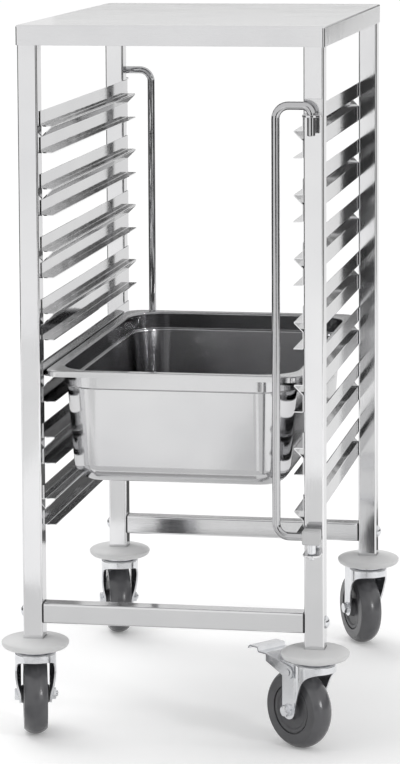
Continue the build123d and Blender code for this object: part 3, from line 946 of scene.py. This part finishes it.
def whiteForView(tree):
    # 1 for what the camera or a reflection sees, 0 for what only lights the object
    rays = addNode(tree, "ShaderNodeLightPath")
    seen = addNode(tree, "ShaderNodeMath", operation="MAXIMUM")
    seenAll = addNode(tree, "ShaderNodeMath", operation="MAXIMUM")
    tree.links.new(rays.outputs["Is Camera Ray"], seen.inputs[0])
    tree.links.new(rays.outputs["Is Glossy Ray"], seen.inputs[1])
    tree.links.new(seen.outputs["Value"], seenAll.inputs[0])
    tree.links.new(rays.outputs["Is Transmission Ray"], seenAll.inputs[1])
    return seenAll.outputs["Value"]


def surround():
    world = bpy.data.worlds.new("whiteSurround")
    bpy.context.scene.world = world
    tree = clearTree(world)
    strength = addNode(tree, "ShaderNodeMapRange")
    strength.inputs["To Min"].default_value = studio["surround"]
    strength.inputs["To Max"].default_value = studio["white"]
    light = addNode(tree, "ShaderNodeBackground")
    light.inputs["Color"].default_value = grey(1)
    output = addNode(tree, "ShaderNodeOutputWorld")
    tree.links.new(whiteForView(tree), strength.inputs["Value"])
    tree.links.new(strength.outputs["Result"], light.inputs["Strength"])
    tree.links.new(light.outputs["Background"], output.inputs["Surface"])


def flatSheet(name, width, depth, finish):
    halfX = width / 2
    halfY = depth / 2
    points = [(-halfX, -halfY, 0), (halfX, -halfY, 0), (halfX, halfY, 0), (-halfX, halfY, 0)]
    mesh = bpy.data.meshes.new(name)
    mesh.from_pydata(points, [], [(0, 1, 2, 3)])
    sheet = newObject(name, mesh)
    dress(sheet, finish)
    return sheet


def studioFloor():
    finish = bpy.data.materials.new("floorWhite")
    tree = clearTree(finish)
    matt = addNode(tree, "ShaderNodeBsdfDiffuse")
    matt.inputs["Color"].default_value = grey(studio["floorTone"])
    lift = addNode(tree, "ShaderNodeEmission")
    lift.inputs["Color"].default_value = grey(1)
    amount = addNode(tree, "ShaderNodeMath", operation="MULTIPLY")
    amount.inputs[1].default_value = studio["floorLift"]
    both = addNode(tree, "ShaderNodeAddShader")
    output = addNode(tree, "ShaderNodeOutputMaterial")
    tree.links.new(whiteForView(tree), amount.inputs[0])
    tree.links.new(amount.outputs["Value"], lift.inputs["Strength"])
    tree.links.new(matt.outputs["BSDF"], both.inputs[0])
    tree.links.new(lift.outputs["Emission"], both.inputs[1])
    tree.links.new(both.outputs["Shader"], output.inputs["Surface"])
    flatSheet("studioFloor", studio["floorSize"], studio["floorSize"], finish)


def faceTowards(item, start, target):
    item.location = start
    item.rotation_euler = (Vector(target) - Vector(start)).to_track_quat("-Z", "Y").to_euler()


def lightOnly(lamp, nameStart):
    # the lamp lights no other pieces than those whose names start so
    lit = bpy.data.collections.new(lamp.name + "Pieces")
    for piece in bpy.context.scene.objects:
        if piece.name.startswith(nameStart) and not piece.hide_render:
            lit.objects.link(piece)
    lamp.light_linking.receiver_collection = lit


def studioLamps():
    for name, look in lamps.items():
        light = bpy.data.lights.new(name, "AREA")
        light.shape = "SQUARE"
        light.size = look["size"]
        light.energy = look["power"]
        lamp = newObject(name, light)
        faceTowards(lamp, look["from"], studio["aim"])
        lamp.visible_glossy = look["mirrored"]
        if "only" in look:
            lightOnly(lamp, look["only"])
    sky = bpy.data.lights.new("skyLamp", "SUN")
    sky.energy = skyLamp["strength"]
    sky.angle = math.radians(skyLamp["angle"])
    lamp = newObject("skyLamp", sky)
    faceTowards(lamp, skyLamp["from"], studio["aim"])
    lamp.visible_glossy = False


def paintedReflectionCard(name, look, middle, target):
    # a glowing sheet seen by reflections only: a painted reflection, dark or pale by its tone
    finish = bpy.data.materials.new(name)
    tree = clearTree(finish)
    glow = addNode(tree, "ShaderNodeEmission")
    glow.inputs["Color"].default_value = grey(look["tone"])
    output = addNode(tree, "ShaderNodeOutputMaterial")
    tree.links.new(glow.outputs["Emission"], output.inputs["Surface"])
    card = flatSheet(name, *look["size"], finish)
    faceTowards(card, middle, target)
    card.rotation_euler.rotate_axis("Z", math.radians(look.get("lean", 0)))
    card.visible_camera = False
    card.visible_diffuse = False
    card.visible_transmission = False
    card.visible_shadow = False


def paintedReflectionCards():
    for name, look in uprightPaintedReflections.items():
        paintedReflectionCard(name, look, look["middle"], (*look["faces"], look["middle"][2]))
    for name, look in floorPaintedShade.items():
        paintedReflectionCard(name, look, (*look["middle"], studio["cardLift"]), (*look["middle"], 1))


surround()
studioFloor()
studioLamps()
paintedReflectionCards()
print("studio ready")


# Camera, as the photograph sees the trolley

view = {"from": (0.7125, -4.0374, 1.1126), "yaw": 10.214, "pitch": -6.211, "roll": -0.287, "lens": 147.91,
        "shiftY": -0.25, "clipEnd": 100}


def photoCamera():
    data = bpy.data.cameras.new("photoCamera")
    data.lens = view["lens"]
    data.shift_y = view["shiftY"]
    data.clip_end = view["clipEnd"]
    eye = newObject("photoCamera", data)
    turn = Matrix.Rotation(math.radians(view["yaw"]), 4, "Z")
    tilt = Matrix.Rotation(math.radians(90 + view["pitch"]), 4, "X")  # unturned, it looks straight down
    roll = Matrix.Rotation(math.radians(view["roll"]), 4, "Z")
    eye.matrix_world = Matrix.Translation(view["from"]) @ turn @ tilt @ roll
    bpy.context.scene.camera = eye


photoCamera()
bpy.context.scene.view_settings.view_transform = "Standard"
print("camera ready")

bpy.context.view_layer.update()
